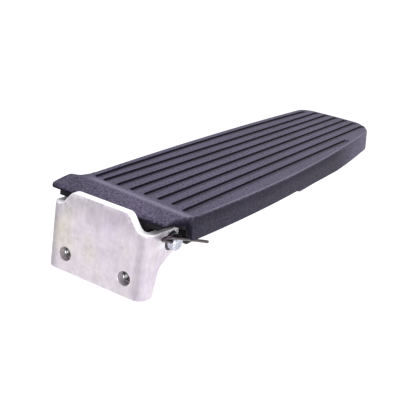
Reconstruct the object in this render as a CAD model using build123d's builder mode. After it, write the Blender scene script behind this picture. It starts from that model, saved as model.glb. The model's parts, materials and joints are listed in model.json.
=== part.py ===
from build123d import *
import math
import os

# Floor-hinged treadle pedal on a folded steel hinge bracket.
#
# Frame: the origin is the middle of the bracket's front face, halfway between its two
# mounting holes. +X runs to the right along the bracket, +Y runs back along the pedal,
# +Z is up. All sizes are in millimetres, and the pedal stands in its released position.

# Longer than anything here is wide, for cuts that run right through
THROUGH = 120.0

# Bracket
HOLE_SPACING = 35.0
HOLE_D = 7.0
SHEET = 4.0
BRACKET_WIDTH = 57.0
BRACKET_BOTTOM = -9.5
EAR_TOP = 24.5
TAB_TOP = 32.0
TAB_HALF = 16.3
SHOULDER_HALF = 22.1
TAB_CORNER_R = 4.0
BEND_OUTER = 5.5
EAR_BACK = 25.2
EAR_FOOT = (9.3, BRACKET_BOTTOM)
EAR_WAIST = (12.2, 5.3)
EAR_HEEL = (25.0, 12.2)
EAR_TIP = (EAR_BACK, 23.1)
EAR_INSIDE = BRACKET_WIDTH / 2 - SHEET
EAR_OUTSIDE = BRACKET_WIDTH / 2

# Hinge
PIN_Y = 19.0
PIN_Z = 17.5
PIN_D = 8.0
PIN_END = 33.0
BORE_D = 8.1
BUSH_OD = 9.6
BUSH_FLANGE_OD = 13.0
BUSH_FLANGE = 1.3
BUSH_PROUD = 0.4
WASHER_OD = 15.0
WASHER = 1.2
HEAD_OD = 12.0
HEAD = 3.0
PIN_CHAMFER = 0.8

# Hairpin clip: one leg goes through the end of the hinge pin, the other lies across its end face
CLIP_X = 30.7
CLIP_TILT = math.radians(-19.4)
CLIP_D = 1.6
CLIP_HOLE_D = 2.0
CLIP_SIDE = PIN_END + CLIP_D / 2 + 0.05 - CLIP_X
CLIP_RISE = 2.63
CLIP_BEND = -11.4
CLIP_SHORT_LEG = 5.5
CLIP_LONG_LEG = 27.4

# Square M6 weld nuts
NUT_SIDE = 10.0
NUT_HEIGHT = 5.0
NUT_BORE_D = 5.0
NUT_CORNER_R = 0.8
NUT_CHAMFER = 0.5

# Tread cover
TREAD_TOP = 33.0
CREST_TOP = 33.3
COVER_TOP = 3.4
SKIRT = 2.6
SKIRT_DRAFT = 2.5
HOOD_FRONT = 4.5
HOOD_EDGE_TOP = 30.5
HOOD_MIDDLE_TOP = 32.3
HOOD_UNDER = 28.6
HOOD_LEFT = -33.5
HOOD_RIGHT = 33.0
CREST_Y = 18.5
CREST_HALF = 3.6
CREST_FOOT = 32.6
CREST_REACH = 26.0
SKIRT_START_TOP = 16.8
SKIRT_START_LOW = 18.6
SKIRT_LOW_NEAR = 20.9
SKIRT_LOW_FAR = 19.6
SKIRT_LOWEST = 18.5
SKIRT_STEP_Y = 134.5
SKIRT_STEP_HALF = 2.5
BELLY_START = 160.0
BELLY_LOWEST = 205.0
BELLY_END = 268.0
LEFT_SKIRT_START = 29.0
HOLLOW_START = 16.6
FAR_END = 301.0
GROOVE_PITCH = 8.05
GROOVE_WIDTH = 3.7
GROOVE_DEPTH = 1.1
GROOVE_START = 22.8
GROOVE_FIRST_X = -15.85
GROOVE_COUNT = 7
GROOVE_END_GAP = 2.4
SHORT_GROOVE_X = 27.0
SHORT_GROOVE_END = 236.0
RIM_R = 1.0
HOOK_LENGTH = 26.0
HOOK_DEPTH = 1.6
HOOK_HEIGHT = 1.4

# Pedal body under the cover
DECK_TOP = TREAD_TOP - COVER_TOP
DECK = 2.8
DECK_LOW = DECK_TOP - DECK
OVERLAP = 0.5
WALL = 2.4
WALL_LOW = 23.2
WALL_START = 32.0
RIB = 2.0
RIB_GAP = 0.5
LONG_RIBS_X = (-14.0, 26.0)
LONG_RIB_MIDDLE = 160.0
LONG_RIB = 270.0
CROSS_RIBS_Y = (44.0, 60.0, 95.0, 130.0, 250.0, 275.0)
BOSS_R = 9.0
BOSS_OUTER = EAR_INSIDE - BUSH_FLANGE - 0.3
BOSS_INNER = 11.6
BLOCK_FRONT = 6.0
BLOCK_BACK = 30.0
BLOCK_FRONT_LOW = 13.5
BLOCK_REACH = 40.0
WING_LOW = 25.8
WING_BACK = 17.0
EAR_ROOM_BACK = 30.0
POCKET_FRONT = 8.5
POCKET_BACK = 42.0
POCKET_LOW = 5.0
WEB_X = 29.9
WEB_FRONT = 25.4
WEB_BACK = 44.0
WEB_LOW = 14.3

# Return spring, wound round a sleeve on the hinge pin
SLEEVE_OD = 11.4
WIRE_D = 2.2
COIL_R = 7.2
COIL_PITCH = 2.4
COIL_TURNS = 6 + 1 / 6
PEDAL_LEG = 18.0
PLATE_LEG = 15.6
SPRING_SEAT = PIN_Z + COIL_R + WIRE_D / 2 + 0.05
SPRING_SEAT_Y = 34.0
SPRING_LEG_X = 8.0
SLEEVE_GAP = 0.3

# Wear plate for the throttle lever's roller
WEAR_X = 6.0
WEAR_Y = 190.0
WEAR_LENGTH = 90.0
WEAR_WIDTH = 24.0
WEAR = 1.5
WEAR_TOP = 22.6
RIVET_D = 4.0
RIVET_LENGTH = 5.5
RIVET_SPACING_X = WEAR_WIDTH / 2
RIVET_SPACING_Y = WEAR_LENGTH - 12
COUNTERSINK = WEAR - 0.1
WEAR_CORNER_R = 2.0
WEAR_BOSS_SIDE = 2.5
WEAR_BOSS_END = 12.0

os.makedirs("parts", exist_ok=True)


def save(solid, name):
    solid.label = name
    export_step(solid, f"parts/{name}.step")


def pin_plane(x):
    """A plane square to the hinge axis at x; its own X is +Y and its own Y is +Z."""
    return Plane(origin=(x, PIN_Y, PIN_Z), x_dir=(0, 1, 0), z_dir=(1, 0, 0))


def corner(sketch, x, y):
    """The sketch's corner nearest to a point given in the sketch's own axes."""
    return sketch.vertices().sort_by_distance((x, y, 0))[0]


# ---------------------------------------------------------------- hinge bracket
with BuildPart() as hinge_bracket:
    # the folded strip in plan, at full height
    with BuildSketch(Plane.XY.offset(BRACKET_BOTTOM)) as strip:
        with Locations((0, EAR_BACK / 2)):
            Rectangle(BRACKET_WIDTH, EAR_BACK)
        fillet(strip.vertices().group_by(Axis.Y)[0], BEND_OUTER)
        with Locations((0, SHEET + EAR_BACK / 2)):
            Rectangle(2 * EAR_INSIDE, EAR_BACK, mode=Mode.SUBTRACT)
        inner_corners = (corner(strip, EAR_INSIDE, SHEET), corner(strip, -EAR_INSIDE, SHEET))
        fillet(inner_corners, BEND_OUTER - SHEET)
    extrude(amount=TAB_TOP - BRACKET_BOTTOM)

    # front outline: a raised tab between two lower shoulders
    with BuildSketch(Plane.XZ) as front:
        with BuildLine():
            Polyline(
                (0, BRACKET_BOTTOM),
                (BRACKET_WIDTH, BRACKET_BOTTOM),
                (BRACKET_WIDTH, EAR_TOP),
                (SHOULDER_HALF, EAR_TOP),
                (TAB_HALF, TAB_TOP),
                (0, TAB_TOP),
                close=True,
            )
        make_face()
        fillet(corner(front, SHOULDER_HALF, EAR_TOP), TAB_CORNER_R)
        fillet(corner(front, TAB_HALF, TAB_TOP), TAB_CORNER_R)
        mirror(about=Plane.YZ)
    extrude(amount=THROUGH, both=True, mode=Mode.INTERSECT)

    # side outline: a narrow foot and a wide lobe around the hinge pin
    with BuildSketch(Plane.YZ) as side:
        with BuildLine():
            Polyline(
                (-1, BRACKET_BOTTOM),
                EAR_FOOT,
                EAR_WAIST,
                EAR_HEEL,
                EAR_TIP,
                (SHEET + 0.2, EAR_TOP),
                (SHEET + 0.2, TAB_TOP + 1),
                (-1, TAB_TOP + 1),
                close=True,
            )
        make_face()
        fillet(corner(side, *EAR_FOOT), 2.0)
        fillet(corner(side, *EAR_WAIST), 4.0)
        fillet(corner(side, *EAR_HEEL), 4.0)
        fillet(corner(side, *EAR_TIP), 1.5)
    extrude(amount=THROUGH, both=True, mode=Mode.INTERSECT)

    # mounting holes through the plate
    with BuildSketch(Plane.XZ):
        with GridLocations(HOLE_SPACING, 0, 2, 1):
            Circle(HOLE_D / 2)
    extrude(amount=-SHEET - 1, mode=Mode.SUBTRACT)

    # seats for the bushes, through both ears
    with BuildSketch(pin_plane(0)):
        Circle(BUSH_OD / 2)
    extrude(amount=THROUGH, both=True, mode=Mode.SUBTRACT)

save(hinge_bracket.part, "hinge_bracket")


# ---------------------------------------------------------------- weld nuts
def weld_nut(x):
    """A square weld nut on the back of the plate, with a plain bore at thread root size."""
    with BuildPart() as nut:
        with BuildSketch(Plane.XZ.offset(-SHEET)):
            with Locations((x, 0)):
                RectangleRounded(NUT_SIDE, NUT_SIDE, NUT_CORNER_R)
        extrude(amount=-NUT_HEIGHT)
        chamfer(nut.faces().sort_by(Axis.Y)[-1].edges(), NUT_CHAMFER)
        with BuildSketch(Plane.XZ.offset(-SHEET)):
            with Locations((x, 0)):
                Circle(NUT_BORE_D / 2)
        extrude(amount=-NUT_HEIGHT, mode=Mode.SUBTRACT)
        bore_rims = nut.edges().filter_by(GeomType.CIRCLE).filter_by(lambda e: e.radius > 2.4)
        chamfer(bore_rims, NUT_CHAMFER)
    return nut.part


for side_name, side_sign in (("left", -1), ("right", 1)):
    save(weld_nut(side_sign * HOLE_SPACING / 2), f"weld_nut_{side_name}")


# ---------------------------------------------------------------- ear bushes
def ear_bush(sign):
    """A flanged bush pressed into an ear from inside; its end stands a little proud outside."""
    with BuildPart() as bush:
        with BuildSketch(pin_plane(sign * EAR_INSIDE)):
            Circle(BUSH_OD / 2)
        extrude(amount=sign * (SHEET + BUSH_PROUD))
        chamfer(bush.faces().sort_by(Axis.X)[-1 if sign > 0 else 0].edges(), 0.2)
        with BuildSketch(pin_plane(sign * EAR_INSIDE)):
            Circle(BUSH_FLANGE_OD / 2)
        extrude(amount=-sign * BUSH_FLANGE)
        with BuildSketch(pin_plane(0)):
            Circle(BORE_D / 2)
        extrude(amount=THROUGH, both=True, mode=Mode.SUBTRACT)
    return bush.part


for side_name, side_sign in (("left", -1), ("right", 1)):
    save(ear_bush(side_sign), f"ear_bush_{side_name}")


# ---------------------------------------------------------------- hinge pin and its washer
WASHER_X = -(EAR_OUTSIDE + BUSH_PROUD + WASHER)
clip_along = Vector(0, math.cos(CLIP_TILT), math.sin(CLIP_TILT))
clip_up = Vector(0, -math.sin(CLIP_TILT), math.cos(CLIP_TILT))
clip_across = Vector(CLIP_SIDE, 0, 0) + CLIP_RISE * clip_up

with BuildPart() as hinge_pin:
    with BuildSketch(pin_plane(WASHER_X)):
        Circle(PIN_D / 2)
    extrude(amount=PIN_END - WASHER_X)
    chamfer(hinge_pin.faces().sort_by(Axis.X)[-1].edges(), PIN_CHAMFER)
    with BuildSketch(pin_plane(WASHER_X)):
        Circle(HEAD_OD / 2)
    extrude(amount=-HEAD)
    fillet(hinge_pin.faces().sort_by(Axis.X)[0].edges(), 1.0)
    with BuildSketch(Plane(origin=(CLIP_X, PIN_Y, PIN_Z), z_dir=clip_along)):
        Circle(CLIP_HOLE_D / 2)
    extrude(amount=PIN_D, both=True, mode=Mode.SUBTRACT)

save(hinge_pin.part, "hinge_pin")

with BuildPart() as pin_washer:
    with BuildSketch(pin_plane(WASHER_X)):
        Circle(WASHER_OD / 2)
        Circle(PIN_D / 2 + 0.2, mode=Mode.SUBTRACT)
    extrude(amount=WASHER)
    rim = pin_washer.edges().filter_by(GeomType.CIRCLE).filter_by(lambda e: e.radius > 7)
    chamfer(rim, 0.25)

save(pin_washer.part, "pin_washer")


# ---------------------------------------------------------------- hairpin clip
clip_plane = Plane(
    origin=(CLIP_X, PIN_Y, PIN_Z),
    x_dir=clip_along,
    z_dir=clip_along.cross(clip_across),
)
CLIP_GAP = clip_across.length

with BuildPart() as hairpin_clip:
    with BuildLine(clip_plane) as clip_line:
        Line((CLIP_SHORT_LEG, 0), (CLIP_BEND, 0))
        ThreePointArc((CLIP_BEND, 0), (CLIP_BEND - CLIP_GAP / 2, CLIP_GAP / 2), (CLIP_BEND, CLIP_GAP))
        Line((CLIP_BEND, CLIP_GAP), (CLIP_LONG_LEG, CLIP_GAP))
    clip_path = clip_line.wires()[0]
    with BuildSketch(Plane(origin=clip_path @ 0, z_dir=clip_path % 0)):
        Circle(CLIP_D / 2)
    sweep(path=clip_path)

save(hairpin_clip.part, "hairpin_clip")


# ---------------------------------------------------------------- return spring and its sleeve
COIL_LEFT = -COIL_PITCH * COIL_TURNS / 2
COIL_RIGHT = -COIL_LEFT

with BuildPart() as spring_sleeve:
    with BuildSketch(pin_plane(SLEEVE_GAP - BOSS_INNER)):
        Circle(SLEEVE_OD / 2)
        Circle(BORE_D / 2, mode=Mode.SUBTRACT)
    extrude(amount=2 * (BOSS_INNER - SLEEVE_GAP))

save(spring_sleeve.part, "spring_sleeve")

with BuildPart() as return_spring:
    # one leg runs back under the pedal's deck, the other down to the back of the plate
    with BuildLine() as spring_line:
        coil = Helix(
            pitch=COIL_PITCH,
            height=COIL_PITCH * COIL_TURNS,
            radius=COIL_R,
            center=(COIL_LEFT, PIN_Y, PIN_Z),
            direction=(1, 0, 0),
        )
        Line(coil @ 0 - PEDAL_LEG * (coil % 0), coil @ 0)
        Line(coil @ 1, coil @ 1 + PLATE_LEG * (coil % 1))
    spring_path = spring_line.wires()[0]
    with BuildSketch(Plane(origin=spring_path @ 0, z_dir=spring_path % 0)):
        Circle(WIRE_D / 2)
    sweep(path=spring_path, transition=Transition.ROUND)

save(return_spring.part, "return_spring")


# ---------------------------------------------------------------- pedal plan outline
with BuildSketch(Plane.XY) as cover_plan:
    with BuildLine():
        right_side = ThreePointArc((39.9, 24), (42.3, 92), (41.2, 160))
        taper = ThreePointArc(right_side @ 1, (37.9, 218), (33.2, 273.5))
        far_corner = TangentArc(taper @ 1, (17.5, 300.2), tangent=taper % 1)
        far_edge = ThreePointArc(far_corner @ 1, (-3, FAR_END), (-29.4, 298.8))
        left_side = ThreePointArc(far_edge @ 1, (-30.9, 170), (-27.2, 25.5))
        Polyline(
            right_side @ 0,
            (38.6, 16.8),
            (33.9, 10.5),
            (HOOD_RIGHT, HOOD_FRONT),
            (HOOD_LEFT, HOOD_FRONT),
            (-33.0, 18.3),
            (-28.6, 19.8),
            left_side @ 1,
        )
    make_face()
    fillet(corner(cover_plan, -29.4, 298.8), 12.0)
    fillet(corner(cover_plan, 17.5, 300.2), 6.0)
    fillet(corner(cover_plan, 39.9, 24), 6.0)
    fillet(corner(cover_plan, 38.6, 16.8), 4.0)
    fillet(corner(cover_plan, 33.9, 10.5), 5.0)
    fillet(corner(cover_plan, HOOD_RIGHT, HOOD_FRONT), 2.0)
    fillet(corner(cover_plan, HOOD_LEFT, HOOD_FRONT), 2.0)
    fillet(corner(cover_plan, -33.0, 18.3), 2.5)
    fillet(corner(cover_plan, -28.6, 19.8), 2.0)
    fillet(corner(cover_plan, -27.2, 25.5), 4.0)


# ---------------------------------------------------------------- tread cover
def groove_end(x):
    """How far back a groove may run before it meets the bowed far end or the tapered side."""
    if x > SHORT_GROOVE_X:
        return SHORT_GROOVE_END
    bow = 4.0 * (abs(x + 3.0) / 24.0) ** 3
    return FAR_END - GROOVE_END_GAP - bow


edge_groove = ThreePointArc((-21.8, GROOVE_START + 2), (-24.9, 170), (-23.5, 290))

with BuildPart() as tread_cover:
    # solid block that widens downwards by the skirt's draft
    with BuildSketch(Plane.XY.offset(TREAD_TOP)):
        add(cover_plan.sketch)
    extrude(amount=SKIRT_LOWEST - TREAD_TOP, taper=-SKIRT_DRAFT)
    fillet(tread_cover.faces().sort_by(Axis.Z)[-1].edges(), RIM_R)

    # side outline: rounded hood, thin front lip, cut-out over the ear, and the step in the skirt
    with BuildSketch(Plane.YZ):
        with BuildLine():
            ThreePointArc(
                (HOOD_FRONT, HOOD_EDGE_TOP),
                ((HOOD_FRONT + CREST_Y) / 2, HOOD_MIDDLE_TOP),
                (CREST_Y, TREAD_TOP),
            )
            Polyline(
                (HOOD_FRONT, HOOD_EDGE_TOP),
                (HOOD_FRONT, HOOD_UNDER),
                (SKIRT_START_TOP, HOOD_UNDER),
                (SKIRT_START_LOW, SKIRT_LOW_NEAR),
                (SKIRT_STEP_Y - SKIRT_STEP_HALF, SKIRT_LOW_NEAR),
                (SKIRT_STEP_Y + SKIRT_STEP_HALF, SKIRT_LOW_FAR),
                (BELLY_START, SKIRT_LOW_FAR),
                (BELLY_LOWEST, SKIRT_LOWEST),
                (BELLY_END, SKIRT_LOW_FAR),
                (FAR_END + 1, SKIRT_LOW_FAR),
                (FAR_END + 1, TREAD_TOP),
                (CREST_Y, TREAD_TOP),
            )
        make_face()
    extrude(amount=THROUGH, both=True, mode=Mode.INTERSECT)

    # low bead along the crest
    with BuildSketch(Plane.YZ):
        with BuildLine():
            ThreePointArc(
                (CREST_Y - CREST_HALF, CREST_FOOT),
                (CREST_Y, CREST_TOP),
                (CREST_Y + CREST_HALF, CREST_FOOT),
            )
            Line((CREST_Y + CREST_HALF, CREST_FOOT), (CREST_Y - CREST_HALF, CREST_FOOT))
        make_face()
    extrude(amount=CREST_REACH, both=True)

    # hollow underside
    with BuildSketch(Plane.XY.offset(SKIRT_LOWEST)):
        offset(cover_plan.sketch, -SKIRT)
        with Locations((0, HOLLOW_START - THROUGH / 2)):
            Rectangle(THROUGH, THROUGH, mode=Mode.SUBTRACT)
    extrude(amount=DECK_TOP - SKIRT_LOWEST, mode=Mode.SUBTRACT)

    # the left skirt starts behind the ear
    with BuildSketch(Plane.XY.offset(SKIRT_LOW_FAR)):
        with Locations((-22, LEFT_SKIRT_START - 10)):
            Rectangle(24, 20)
    extrude(amount=HOOD_UNDER - SKIRT_LOW_FAR, mode=Mode.SUBTRACT)

    # straight grooves
    with BuildSketch(Plane.XY.offset(TREAD_TOP - GROOVE_DEPTH)):
        for number in range(GROOVE_COUNT):
            x = GROOVE_FIRST_X + number * GROOVE_PITCH
            length = groove_end(x) - GROOVE_START
            with Locations((x, GROOVE_START + length / 2)):
                SlotOverall(length, GROOVE_WIDTH, rotation=90)
    extrude(amount=GROOVE_DEPTH + 1, mode=Mode.SUBTRACT)

    # the leftmost groove bends with the cover's side
    with BuildSketch(Plane.XY.offset(TREAD_TOP - GROOVE_DEPTH)):
        SlotArc(arc=edge_groove, height=GROOVE_WIDTH)
    extrude(amount=GROOVE_DEPTH + 1, mode=Mode.SUBTRACT)

    # hooks under the skirt that hold the cover on the body
    for hook_y, hook_low in ((75, SKIRT_LOW_NEAR), (175, SKIRT_LOW_FAR), (225, SKIRT_LOW_FAR)):
        with BuildSketch(Plane.XY.offset(hook_low)):
            with Locations((0, hook_y)):
                Rectangle(THROUGH, HOOK_LENGTH)
            add(cover_plan.sketch, mode=Mode.INTERSECT)
            inner = offset(cover_plan.sketch, -SKIRT - HOOK_DEPTH, mode=Mode.PRIVATE)
            add(inner, mode=Mode.SUBTRACT)
        extrude(amount=HOOK_HEIGHT)

save(tread_cover.part, "tread_cover")


# ---------------------------------------------------------------- pedal body
with BuildPart() as pedal_body:
    # deck and side walls: an inverted tray that fills the cover
    with BuildSketch(Plane.XY.offset(WALL_LOW)):
        offset(cover_plan.sketch, -SKIRT)
        with Locations((0, HOLLOW_START - THROUGH / 2)):
            Rectangle(THROUGH, THROUGH, mode=Mode.SUBTRACT)
    extrude(amount=DECK_TOP - WALL_LOW)
    with BuildSketch(Plane.XY.offset(WALL_LOW)):
        offset(cover_plan.sketch, -SKIRT - WALL)
        with Locations((0, WALL_START - THROUGH / 2)):
            Rectangle(THROUGH, THROUGH, mode=Mode.SUBTRACT)
    extrude(amount=DECK_LOW - WALL_LOW, mode=Mode.SUBTRACT)

    # room for the ears and their swing
    with BuildSketch(Plane.XY.offset(WALL_LOW)):
        with Locations((0, EAR_ROOM_BACK - THROUGH / 2)):
            Rectangle(THROUGH, THROUGH)
    extrude(amount=WING_LOW - WALL_LOW, mode=Mode.SUBTRACT)

    # wings over the ears, under the hood
    with BuildSketch(Plane.XY.offset(WING_LOW)):
        with Locations((0, (BLOCK_FRONT + WING_BACK) / 2)):
            Rectangle(2 * EAR_OUTSIDE, WING_BACK - BLOCK_FRONT)
    extrude(amount=HOOD_UNDER - WING_LOW)

    # hinge block between the ears
    with BuildSketch(pin_plane(-BOSS_OUTER)):
        Circle(BOSS_R)
    extrude(amount=2 * BOSS_OUTER)
    with BuildSketch(Plane.YZ.offset(-BOSS_OUTER)):
        with BuildLine():
            Polyline(
                (BLOCK_FRONT, BLOCK_FRONT_LOW),
                (BLOCK_FRONT + 3, BLOCK_FRONT_LOW),
                (PIN_Y - 6, PIN_Z - 6),
                (PIN_Y + 3, PIN_Z - 8),
                (BLOCK_BACK, 21.0),
                (BLOCK_REACH, DECK_LOW + OVERLAP),
                (BLOCK_FRONT, WING_LOW + OVERLAP),
                close=True,
            )
        make_face()
    extrude(amount=2 * BOSS_OUTER)

    # wall behind the ears, and a web beside the right one
    with BuildSketch(Plane.XY.offset(WEB_LOW)):
        with Locations((0, BLOCK_BACK + WALL / 2)):
            Rectangle(2 * (WEB_X + WALL), WALL)
        add(offset(cover_plan.sketch, -SKIRT - RIB_GAP, mode=Mode.PRIVATE), mode=Mode.INTERSECT)
    extrude(amount=DECK_LOW + OVERLAP - WEB_LOW)
    with BuildSketch(Plane.YZ.offset(WEB_X)):
        with BuildLine():
            Polyline(
                (WEB_FRONT, DECK_LOW + OVERLAP),
                (WEB_FRONT, WEB_LOW + 2),
                (WEB_FRONT + 2, WEB_LOW),
                (BLOCK_BACK + WALL, WEB_LOW),
                (WEB_BACK, WALL_LOW),
                (WEB_BACK, DECK_LOW + OVERLAP),
                close=True,
            )
        make_face()
    extrude(amount=WALL)

    # pocket for the spring, open below
    with BuildSketch(Plane.XY.offset(POCKET_LOW)):
        with Locations((0, (POCKET_FRONT + POCKET_BACK) / 2)):
            Rectangle(2 * BOSS_INNER, POCKET_BACK - POCKET_FRONT)
    extrude(amount=DECK_LOW - POCKET_LOW, mode=Mode.SUBTRACT)

    # way out for the spring's leg, and the seat under the deck for the other one
    with BuildSketch(Plane.XY.offset(POCKET_LOW)):
        with Locations((SPRING_LEG_X, BLOCK_FRONT)):
            Rectangle(7, 8)
    extrude(amount=PIN_Z + 0.5 - POCKET_LOW, mode=Mode.SUBTRACT)
    with BuildSketch(Plane.XY.offset(SPRING_SEAT)):
        with Locations((-SPRING_LEG_X, SPRING_SEAT_Y)):
            Rectangle(8, 6)
    extrude(amount=DECK_LOW - SPRING_SEAT + OVERLAP)

    # bore for the hinge pin
    with BuildSketch(pin_plane(0)):
        Circle(BORE_D / 2)
    extrude(amount=THROUGH, both=True, mode=Mode.SUBTRACT)

    # stiffening ribs under the deck
    with BuildSketch(Plane.XY.offset(WALL_LOW)) as ribs:
        for rib_x in LONG_RIBS_X:
            with Locations((rib_x, LONG_RIB_MIDDLE)):
                Rectangle(RIB, LONG_RIB)
        for rib_y in CROSS_RIBS_Y:
            with Locations((0, rib_y)):
                Rectangle(THROUGH, RIB)
        inner = offset(cover_plan.sketch, -SKIRT - RIB_GAP, mode=Mode.PRIVATE)
        add(inner, mode=Mode.INTERSECT)
    extrude(amount=DECK_LOW - WALL_LOW + OVERLAP)

    # boss that carries the wear plate
    with BuildSketch(Plane.XY.offset(WEAR_TOP)):
        with Locations((WEAR_X, WEAR_Y)):
            RectangleRounded(WEAR_WIDTH, WEAR_LENGTH, WEAR_CORNER_R)
            Rectangle(
                WEAR_WIDTH - 2 * WEAR_BOSS_SIDE,
                WEAR_LENGTH - 2 * WEAR_BOSS_END,
                mode=Mode.SUBTRACT,
            )
    extrude(amount=DECK_LOW + OVERLAP - WEAR_TOP)

    # holes for the wear plate's rivets
    with BuildSketch(Plane.XY.offset(WEAR_TOP)):
        with Locations((WEAR_X, WEAR_Y)):
            with GridLocations(RIVET_SPACING_X, RIVET_SPACING_Y, 2, 2):
                Circle(RIVET_D / 2)
    extrude(amount=RIVET_LENGTH - WEAR, mode=Mode.SUBTRACT)

save(pedal_body.part, "pedal_body")


# ---------------------------------------------------------------- wear plate and rivets
rivet_grid = GridLocations(RIVET_SPACING_X, RIVET_SPACING_Y, 2, 2)

with BuildPart() as wear_plate:
    with BuildSketch(Plane.XY.offset(WEAR_TOP - WEAR)):
        with Locations((WEAR_X, WEAR_Y)):
            RectangleRounded(WEAR_WIDTH, WEAR_LENGTH, WEAR_CORNER_R)
    extrude(amount=WEAR)
    # countersunk rivet holes, open below
    with BuildSketch(Plane.XY.offset(WEAR_TOP - WEAR)):
        with Locations((WEAR_X, WEAR_Y)):
            with GridLocations(RIVET_SPACING_X, RIVET_SPACING_Y, 2, 2):
                Circle(RIVET_D / 2)
    extrude(amount=WEAR, mode=Mode.SUBTRACT)
    rims = wear_plate.faces().sort_by(Axis.Z)[0].edges().filter_by(GeomType.CIRCLE)
    chamfer(rims.filter_by(lambda e: abs(e.radius - RIVET_D / 2) < 0.01), COUNTERSINK)

save(wear_plate.part, "wear_plate")


def wear_rivet(place):
    """A countersunk rivet whose head is flush with the wear plate's underside."""
    centre = (WEAR_X + place.position.X, WEAR_Y + place.position.Y)
    with BuildPart() as rivet:
        with BuildSketch(Plane.XY.offset(WEAR_TOP - WEAR)):
            with Locations(centre):
                Circle(RIVET_D / 2)
        extrude(amount=RIVET_LENGTH)
        with BuildSketch(Plane.XY.offset(WEAR_TOP - WEAR)):
            with Locations(centre):
                Circle(RIVET_D / 2 + COUNTERSINK)
        extrude(amount=COUNTERSINK, taper=45)
    return rivet.part


for number, place in enumerate(rivet_grid.locations, start=1):
    save(wear_rivet(place), f"wear_rivet_{number}")
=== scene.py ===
"""Looks of the treadle pedal and its hinge bracket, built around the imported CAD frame.

Shapes are worked out in millimetres, in the part's own frame, and become metres when a mesh
is made. X runs to the right along the bracket, Y back along the pedal and Z up.
"""
import json
import math

import bmesh
import bpy
import numpy as np
from mathutils import Euler, Matrix, Vector
from mathutils.geometry import delaunay_2d_cdt


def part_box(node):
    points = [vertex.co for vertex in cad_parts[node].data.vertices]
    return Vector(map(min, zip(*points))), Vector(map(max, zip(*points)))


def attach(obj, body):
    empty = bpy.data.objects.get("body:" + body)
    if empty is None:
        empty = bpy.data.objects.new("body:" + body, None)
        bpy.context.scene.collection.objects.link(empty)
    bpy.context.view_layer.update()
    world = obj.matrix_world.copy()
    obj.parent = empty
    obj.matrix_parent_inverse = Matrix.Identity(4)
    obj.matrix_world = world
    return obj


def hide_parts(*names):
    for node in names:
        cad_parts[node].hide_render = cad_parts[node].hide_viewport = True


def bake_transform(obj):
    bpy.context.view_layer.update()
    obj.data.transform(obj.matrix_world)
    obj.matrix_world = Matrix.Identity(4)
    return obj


MM = 0.001

# Sizes that the CAD pieces share with the pieces made here, in millimetres
SHEET = 4.0
BRACKET_WIDTH = 57.0
BRACKET_BOTTOM = -9.5
EAR_TOP = 24.5
TAB_TOP = 32.0
BEND_OUTER = 5.5
HOLE_SPACING = 35.0
HOLE_R = 3.5
BUSH_R = 4.8
PIN_END = 33.0
CLIP_X = 30.7
CLIP_TILT = math.radians(-19.4)
CLIP_R = 0.8
NUT_SIDE = 10.0
NUT_HEIGHT = 5.0
THREAD_MINOR_R = 2.5
THREAD_MAJOR_R = 3.0
THREAD_PITCH = 1.0
TREAD_TOP = 33.0
HOOD_FRONT = 4.5
HOOD_DROP = 2.5
HOOD_UNDER = 28.6
HOOD_LEFT = -33.5
HOOD_RIGHT = 33.0
HOOD_BACK = 18.6
DECK_TOP = 29.6
DECK_STEP_Y = 16.7
SKIRT = 2.6
SKIRT_DRAFT = math.radians(2.5)
FAR_END = 301.0
GROOVE_COUNT = 8
GROOVE_PITCH = 8.05
GROOVE_FIRST_X = -15.85
GROOVE_START = 22.8
GROOVE_END_GAP = 2.4
SHORT_GROOVE_END = 236.0
GROOVE_DEPTH = 1.1
COIL_R = 7.2
WIRE_R = 1.1
COIL_PITCH = 2.4
COIL_TURNS = 6 + 1 / 6
PEDAL_LEG = 18.0
PLATE_LEG = 15.6

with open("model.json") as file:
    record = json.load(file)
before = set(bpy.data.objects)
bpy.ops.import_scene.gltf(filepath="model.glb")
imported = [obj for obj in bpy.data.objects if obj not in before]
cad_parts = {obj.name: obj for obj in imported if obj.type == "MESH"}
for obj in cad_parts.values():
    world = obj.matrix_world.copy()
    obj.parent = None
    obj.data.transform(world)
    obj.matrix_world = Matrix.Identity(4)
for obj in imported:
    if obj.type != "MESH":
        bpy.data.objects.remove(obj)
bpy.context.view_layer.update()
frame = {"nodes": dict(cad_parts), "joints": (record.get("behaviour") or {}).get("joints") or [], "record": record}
HINGE = [value / MM for value in frame["joints"][0]["pos_m"]]
PIN_Y, PIN_Z = HINGE[1], HINGE[2]


# ---------------------------------------------------------------- plane curves
SAME_POINT = 1e-4
CORNER_CLEARANCE = 0.05
CORNER_STEPS = 8
FINE_STEPS = 12000


def arc_through(start, middle, end, step=1.5):
    """Points about step apart along the arc from start through middle to end, ends included."""
    a, b, c = (complex(*point) for point in (start, middle, end))
    w = (c - a) / (b - a)
    centre = a + (b - a) * (w - abs(w) ** 2) / (w - w.conjugate())
    swing = np.angle((c - centre) / (a - centre))
    half = np.angle((b - centre) / (a - centre))
    if swing * half < 0:
        swing -= math.copysign(2 * math.pi, swing)
    count = max(2, int(abs(swing) * abs(a - centre) / step))
    turned = centre + (a - centre) * np.exp(1j * swing * np.linspace(0, 1, count + 1))
    return np.column_stack([turned.real, turned.imag])


def lengths(points):
    """Distance along a polyline at each of its points."""
    steps = np.linalg.norm(np.diff(points, axis=0), axis=1)
    return np.concatenate([[0.0], np.cumsum(steps)])


def along(points, distances):
    """Points of a polyline at the given distances from its start."""
    at = lengths(points)
    return np.column_stack([np.interp(distances, at, points[:, i]) for i in range(points.shape[1])])


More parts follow.
